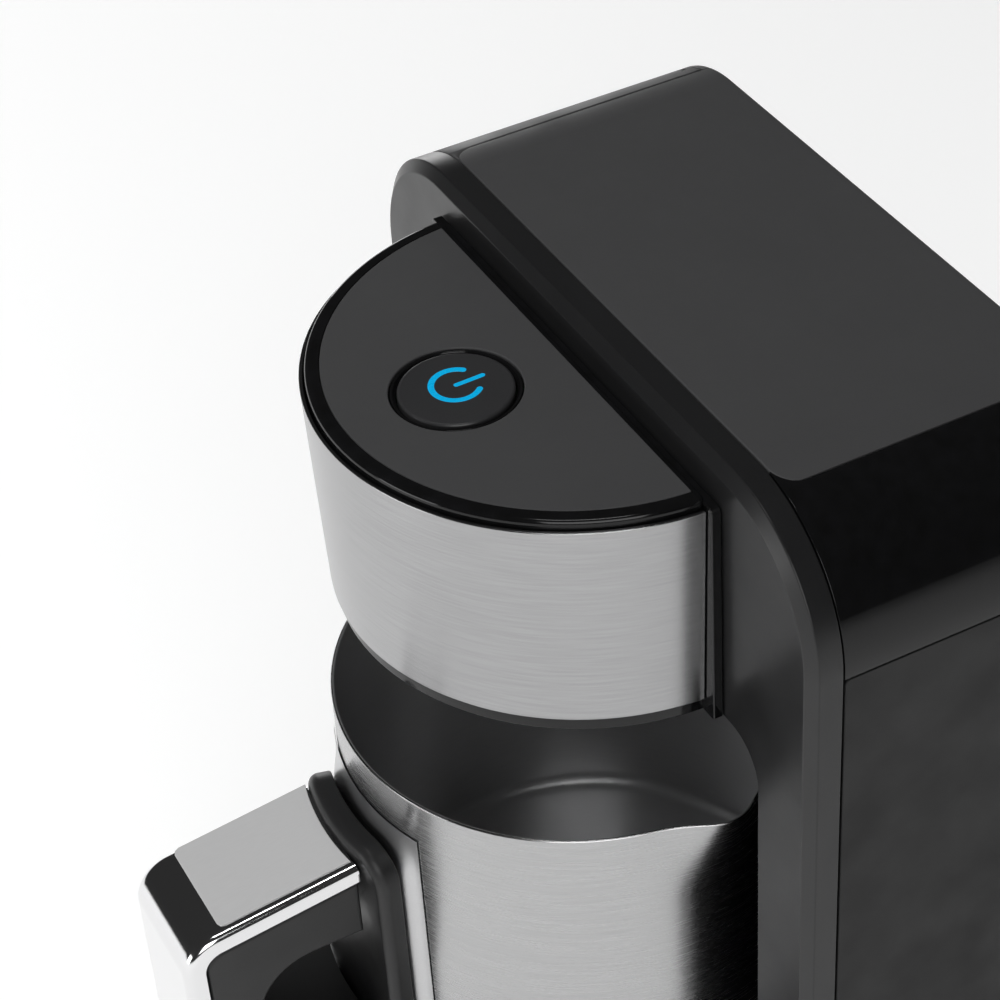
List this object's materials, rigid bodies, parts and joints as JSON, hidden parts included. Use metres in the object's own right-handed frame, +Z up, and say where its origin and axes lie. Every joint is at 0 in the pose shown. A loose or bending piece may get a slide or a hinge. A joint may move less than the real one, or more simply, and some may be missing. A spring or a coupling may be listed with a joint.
{
  "type": "soda carbonator",
  "caption": "Countertop carbonator: rounded black tower with a niche, half-round steel-banded head with a power button, steel jug with handle, drip tray.",
  "frame": {"origin": "centre of the footprint on the surface it stands on", "axes": "+Z up; -Y towards the jug's handle and the user; +X to the user's right"},
  "size_m": [0.1894, 0.19, 0.2722],
  "materials": {
    "gloss_black": "high gloss",
    "matte_black": "fine matte",
    "black_plastic": "satin",
    "brushed_steel": "horizontal brushing",
    "satin_metal": "satin",
    "chrome": "polished",
    "brass": "machined",
    "white_plastic": "moulded",
    "blue_inlay": "lit clear blue inlay",
    "clear_plastic": "clear moulded plastic",
    "hose_plastic": "translucent hose",
    "circuit_board": "solder mask",
    "rubber": "soft",
    "grey_cylinder": "satin paint"
  },
  "bodies": {
    "housing": {"tower_shell": "gloss_black", "niche_liner": "gloss_black", "head_floor": "gloss_black", "head_collar": "gloss_black", "button_ring": "gloss_black", "base_shell": "gloss_black", "front_bezel": "matte_black", "rear_cover": "matte_black", "side_panel_left": "matte_black", "side_panel_right": "matte_black", "head_lid": "matte_black", "base_pan": "matte_black", "head_shell": "black_plastic", "tact_switch": "black_plastic", "solenoid_valve": "black_plastic", "power_inlet": "black_plastic", "head_band": "brushed_steel", "lid_hinge_pin": "satin_metal", "button_spring": "satin_metal", "carbonation_chamber": "satin_metal", "pump_motor": "satin_metal", "rear_screw_low_left": "satin_metal", "rear_screw_low_right": "satin_metal", "rear_screw_high_left": "satin_metal", "rear_screw_high_right": "satin_metal", "nozzle": "chrome", "chamber_cap": "brass", "co2_regulator": "brass", "outlet_filter": "white_plastic", "pump_housing": "white_plastic", "water_reservoir": "clear_plastic", "reservoir_hose": "hose_plastic", "water_hose": "hose_plastic", "control_board": "circuit_board", "power_supply_board": "circuit_board", "co2_hose": "rubber", "foot_rear_left": "rubber", "foot_rear_right": "rubber", "foot_front_left": "rubber", "foot_front_right": "rubber", "co2_cylinder": "grey_cylinder"},
    "button": {"power_button": "gloss_black", "icon_ring": "blue_inlay", "icon_bar": "blue_inlay"},
    "reservoir_lid": {"reservoir_lid": "matte_black", "lid_gasket": "rubber"},
    "jug": {"jug_shell": "brushed_steel", "jug_saddle": "satin_metal", "handle_bracket": "black_plastic", "handle_grip": "black_plastic", "handle_strap": "chrome", "handle_top_plate": "satin_metal"},
    "drip_tray": {"drip_tray": "gloss_black", "drip_grille": "matte_black"},
    "cartridge_door": {"co2_door": "gloss_black"},
    "impeller": {"pump_impeller": "white_plastic"},
    "plunger": {"valve_plunger": "satin_metal"}
  },
  "joints": [
    {"name": "button_press", "type": "slide", "parent": "housing", "child": "button", "axis": [0, 0, -1], "range_m": [0, 0.0015], "stiffness_N_per_m": 800, "springref_m": -0.0003, "deforming": ["button_spring"]},
    {"name": "reservoir_lid_hinge", "type": "hinge", "parent": "housing", "child": "reservoir_lid", "pos_m": [0, 0.0905, 0.2677], "axis": [-1, 0, 0], "range_deg": [0, 88]},
    {"name": "jug_pull", "type": "slide", "parent": "housing", "child": "jug", "axis": [0, -1, 0], "range_m": [0, 0.25]},
    {"name": "drip_tray_slide", "type": "slide", "parent": "housing", "child": "drip_tray", "axis": [0, -1, 0], "range_m": [0, 0.14]},
    {"name": "cartridge_door_hinge", "type": "hinge", "parent": "housing", "child": "cartridge_door", "pos_m": [-0.0933, 0.0644, 0.012], "axis": [0, -1, 0], "range_deg": [0, 90]},
    {"name": "impeller_spin", "type": "hinge", "parent": "housing", "child": "impeller", "pos_m": [0.01, -0.0096, 0.03], "axis": [1, 0, 0], "continuous": true},
    {"name": "plunger_lift", "type": "slide", "parent": "housing", "child": "plunger", "axis": [0, 0, 1], "range_m": [0, 0.003], "stiffness_N_per_m": 150}
  ]
}
